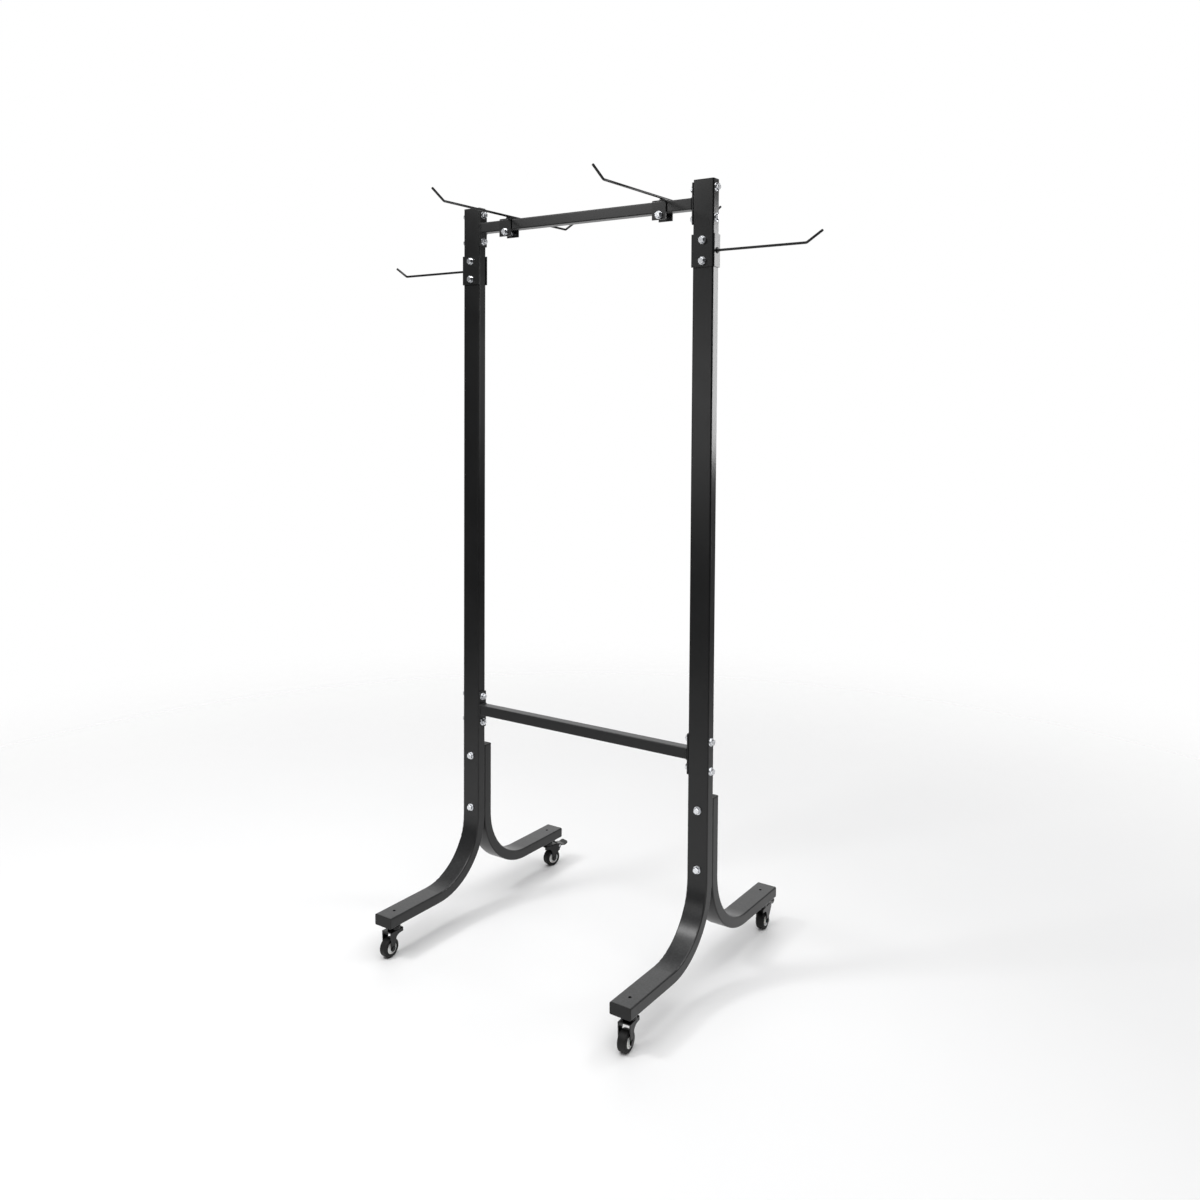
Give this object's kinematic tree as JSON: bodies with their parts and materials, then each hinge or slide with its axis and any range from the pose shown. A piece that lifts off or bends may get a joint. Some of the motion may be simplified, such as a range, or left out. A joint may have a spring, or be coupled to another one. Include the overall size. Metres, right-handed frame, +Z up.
{
  "type": "mobile display rack",
  "caption": "Rolling display rack: bent tube uprights and rear legs, upper and lower crossbars, wire hooks with raised tips, swivel casters, and brake pedals at the rear.",
  "frame": {"origin": "on the floor, midway between the uprights, in the plane where the uprights and the rear legs meet", "axes": "+X along the crossbars to the right, +Y to the back, where the braked casters are, +Z up"},
  "size_m": [1.1864, 0.6868, 1.756],
  "materials": {
    "powder_coat": "satin black powder coat with a fine texture",
    "hook_wire": "black powder coated wire",
    "zinc_fasteners": "bright zinc plate",
    "cap_plastic": "moulded black polyethylene",
    "caster_steel": "gloss black stoved paint on pressed steel",
    "rivet_steel": "blackened steel",
    "bearing_steel": "polished",
    "tyre_rubber": "matt black rubber",
    "hub_nylon": "moulded white nylon",
    "pedal_steel": "gloss black stoved paint"
  },
  "bodies": {
    "frame_body": {"crossbar_bolts": "zinc_fasteners", "crossbar_nuts": "zinc_fasteners", "foot_caps": "cap_plastic", "front_left_stem": "caster_steel", "front_right_stem": "caster_steel", "left_double_hook": "hook_wire", "left_rear_leg": "powder_coat", "left_saddle": "powder_coat", "left_side_bracket": "powder_coat", "left_side_hook": "hook_wire", "left_upright": "powder_coat", "leg_bolts": "zinc_fasteners", "leg_nuts": "zinc_fasteners", "lower_crossbar": "powder_coat", "lower_end_plates": "powder_coat", "rear_left_stem": "caster_steel", "rear_leg_caps": "cap_plastic", "rear_right_stem": "caster_steel", "right_double_hook": "hook_wire", "right_rear_leg": "powder_coat", "right_saddle": "powder_coat", "right_side_bracket": "powder_coat", "right_side_hook": "hook_wire", "right_upright": "powder_coat", "saddle_bolts": "zinc_fasteners", "saddle_nuts": "zinc_fasteners", "side_bracket_bolts": "zinc_fasteners", "side_bracket_nuts": "zinc_fasteners", "stem_inserts": "zinc_fasteners", "upper_crossbar": "powder_coat", "upper_end_plates": "powder_coat", "upright_caps": "cap_plastic"},
    "front_left_fork_body": {"front_left_fork": "caster_steel", "front_left_axle": "rivet_steel", "front_left_balls": "bearing_steel"},
    "front_left_wheel_body": {"front_left_hub": "hub_nylon", "front_left_tyre": "tyre_rubber"},
    "front_right_fork_body": {"front_right_fork": "caster_steel", "front_right_axle": "rivet_steel", "front_right_balls": "bearing_steel"},
    "front_right_wheel_body": {"front_right_hub": "hub_nylon", "front_right_tyre": "tyre_rubber"},
    "rear_left_fork_body": {"rear_left_fork": "caster_steel", "rear_left_axle": "rivet_steel", "rear_left_balls": "bearing_steel", "rear_left_pedal_pin": "rivet_steel"},
    "rear_left_wheel_body": {"rear_left_hub": "hub_nylon", "rear_left_tyre": "tyre_rubber"},
    "rear_left_pedal_body": {"rear_left_pedal": "pedal_steel"},
    "rear_right_fork_body": {"rear_right_fork": "caster_steel", "rear_right_axle": "rivet_steel", "rear_right_balls": "bearing_steel", "rear_right_pedal_pin": "rivet_steel"},
    "rear_right_wheel_body": {"rear_right_hub": "hub_nylon", "rear_right_tyre": "tyre_rubber"},
    "rear_right_pedal_body": {"rear_right_pedal": "pedal_steel"}
  },
  "joints": [
    {"name": "front_left_swivel", "type": "hinge", "parent": "frame_body", "child": "front_left_fork_body", "pos_m": [-0.325, -0.292, 0.063], "axis": [0, 0, 1], "continuous": true},
    {"name": "front_left_roll", "type": "hinge", "parent": "front_left_fork_body", "child": "front_left_wheel_body", "pos_m": [-0.325, -0.308, 0.022], "axis": [-1, 0, 0], "continuous": true},
    {"name": "front_right_swivel", "type": "hinge", "parent": "frame_body", "child": "front_right_fork_body", "pos_m": [0.325, -0.292, 0.063], "axis": [0, 0, 1], "continuous": true},
    {"name": "front_right_roll", "type": "hinge", "parent": "front_right_fork_body", "child": "front_right_wheel_body", "pos_m": [0.32639, -0.30794, 0.022], "axis": [-0.9962, -0.0872, 0], "continuous": true},
    {"name": "rear_left_swivel", "type": "hinge", "parent": "frame_body", "child": "rear_left_fork_body", "pos_m": [-0.325, 0.292, 0.063], "axis": [0, 0, 1], "continuous": true},
    {"name": "rear_left_roll", "type": "hinge", "parent": "rear_left_fork_body", "child": "rear_left_wheel_body", "pos_m": [-0.32059, 0.30738, 0.022], "axis": [0.9613, -0.2756, 0], "continuous": true},
    {"name": "rear_left_brake", "type": "hinge", "parent": "rear_left_fork_body", "child": "rear_left_pedal_body", "pos_m": [-0.31563, 0.32468, 0.054], "axis": [0.9613, -0.2756, 0], "range_deg": [-18, 0]},
    {"name": "rear_right_swivel", "type": "hinge", "parent": "frame_body", "child": "rear_right_fork_body", "pos_m": [0.325, 0.292, 0.063], "axis": [0, 0, 1], "continuous": true},
    {"name": "rear_right_roll", "type": "hinge", "parent": "rear_right_fork_body", "child": "rear_right_wheel_body", "pos_m": [0.32388, 0.30796, 0.022], "axis": [0.9976, 0.0698, 0], "continuous": true},
    {"name": "rear_right_brake", "type": "hinge", "parent": "rear_right_fork_body", "child": "rear_right_pedal_body", "pos_m": [0.32263, 0.32592, 0.054], "axis": [0.9976, 0.0698, 0], "range_deg": [-18, 0]}
  ]
}
